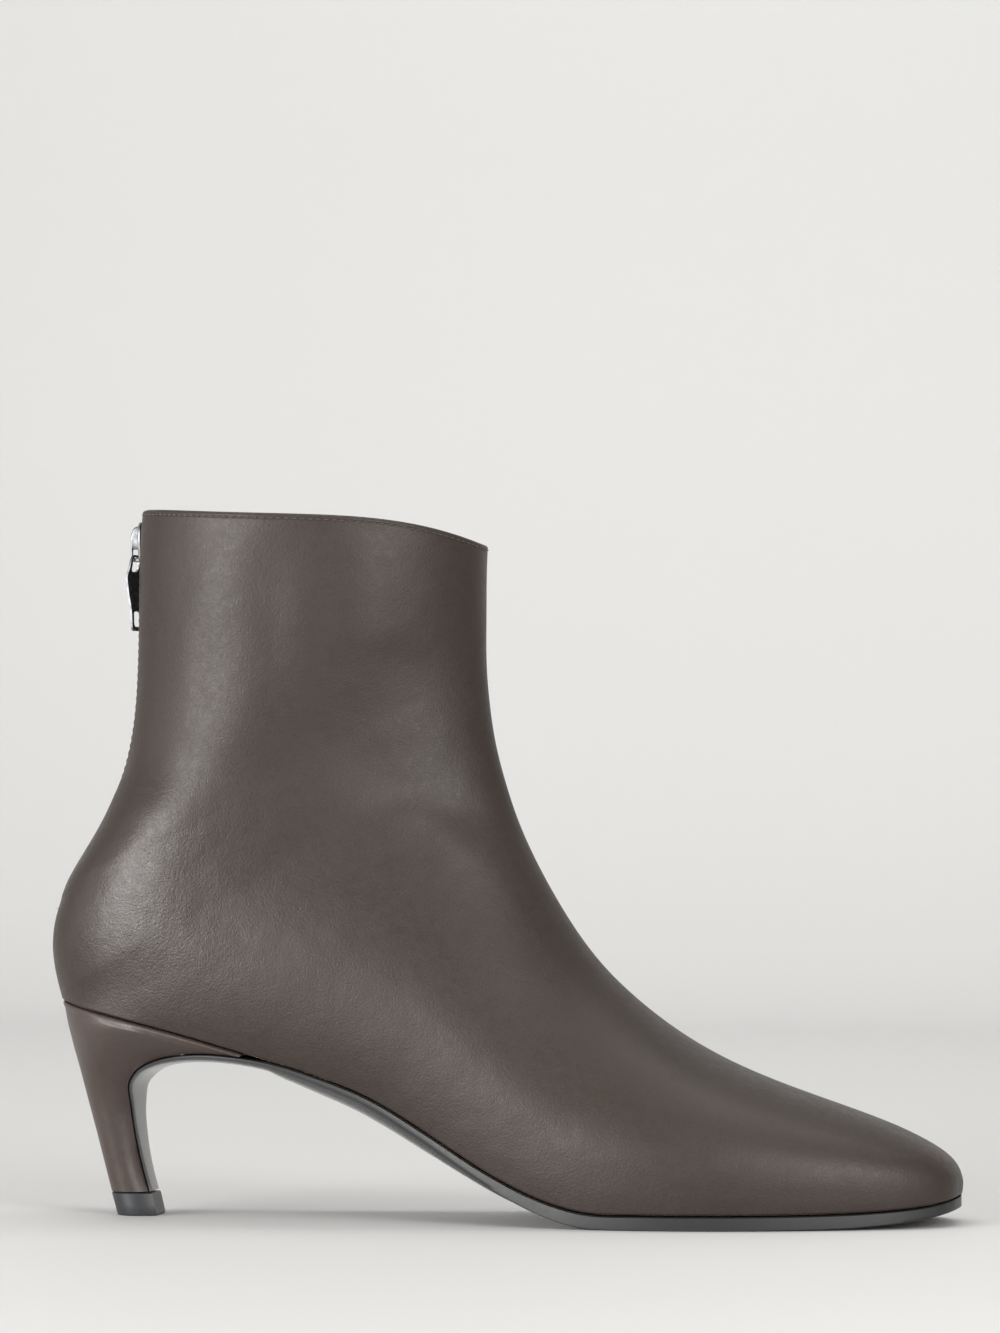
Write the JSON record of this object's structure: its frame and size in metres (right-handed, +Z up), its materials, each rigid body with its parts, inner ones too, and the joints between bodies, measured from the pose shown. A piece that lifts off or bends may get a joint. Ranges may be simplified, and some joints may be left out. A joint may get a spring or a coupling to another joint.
{
  "type": "zip ankle boot",
  "caption": "Leather ankle boot with a slim curved heel, an almond toe and a back zip whose pull tab hangs on a hinge; open at the collar and hollow inside.",
  "frame": {"origin": "middle of the heel tip's ground face, which is on the floor", "axes": "+X to the toe, +Y to the medial side, +Z up; the boot stands on its heel tip and its tread"},
  "size_m": [0.2433, 0.0791, 0.1887],
  "materials": {
    "brown_leather": "fine grain, satin",
    "lining_leather": "matt",
    "black_sole_leather": "polished edge, matt tread",
    "heel_tip_rubber": "satin",
    "zip_textile": "woven",
    "gunmetal": "dark plating, satin gloss"
  },
  "bodies": {
    "boot": {"upper": "brown_leather", "insole": "lining_leather", "outsole": "black_sole_leather", "heel": "brown_leather", "top_piece": "heel_tip_rubber", "zip_tape": "zip_textile", "zip_chain": "gunmetal", "zip_bottom_stop": "gunmetal", "zip_slider": "gunmetal"},
    "pull_tab": {"zip_pull": "gunmetal"}
  },
  "joints": [
    {"name": "zip_pull_hinge", "type": "hinge", "parent": "boot", "child": "pull_tab", "pos_m": [-0.00155, 0, 0.1768], "axis": [0.4067, 0.9135, 0], "range_deg": [0, 130]}
  ]
}
